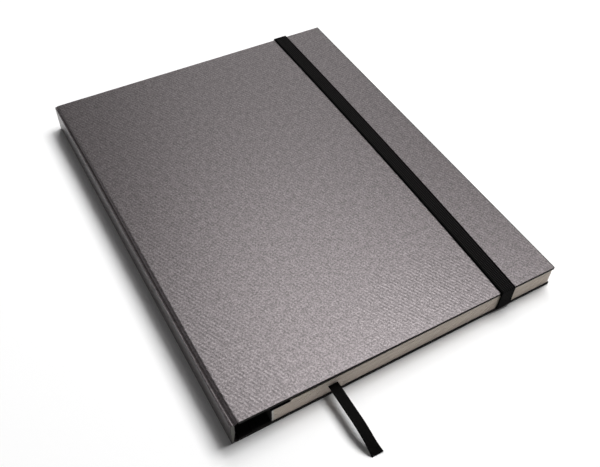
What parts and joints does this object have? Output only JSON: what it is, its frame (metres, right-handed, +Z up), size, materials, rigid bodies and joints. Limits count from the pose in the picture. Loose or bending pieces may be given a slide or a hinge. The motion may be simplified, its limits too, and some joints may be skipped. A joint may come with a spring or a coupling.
{
  "type": "elastic-closure notebook",
  "caption": "Slim closed notebook with a wrap-around ribbed paper case, hollow square spine, elastic closure band and ribbon marker.",
  "frame": {"origin": "middle of the closed covers, on the table", "axes": "+X from the spine to the fore edge, +Y from the tail to the head, +Z up out of the front cover"},
  "size_m": [0.1906, 0.2852, 0.0175],
  "materials": {
    "black_board": "matt dyed board with bare cut edges",
    "ribbed_grey_paper": "pearlescent laid paper with fine ribs",
    "page_paper": "uncoated, trimmed smooth",
    "liner_paper": "uncoated, glued",
    "black_cloth": "close-woven book cloth",
    "black_elastic": "woven elastic with lengthwise ribs",
    "black_ribbon": "woven ribbon, cut end",
    "greyboard": "bare greyboard"
  },
  "bodies": {
    "book": {"back_board": "black_board", "back_covering": "ribbed_grey_paper", "page_block": "page_paper", "spine_liner": "liner_paper", "hinge_strip": "black_cloth", "elastic_band": "black_elastic", "ribbon_marker": "black_ribbon"},
    "spine": {"spine_stiffener": "greyboard", "spine_covering": "ribbed_grey_paper"},
    "front_cover": {"front_board": "black_board", "front_covering": "ribbed_grey_paper"}
  },
  "joints": [
    {"name": "spine_fold", "type": "hinge", "parent": "book", "child": "spine", "pos_m": [-0.09405, 0, 0.0012], "axis": [0, -1, 0], "range_deg": [0, 90]},
    {"name": "cover_fold", "type": "hinge", "parent": "spine", "child": "front_cover", "pos_m": [-0.09405, 0, 0.0164], "axis": [0, -1, 0], "range_deg": [0, 91], "deforming": ["elastic_band"]}
  ]
}
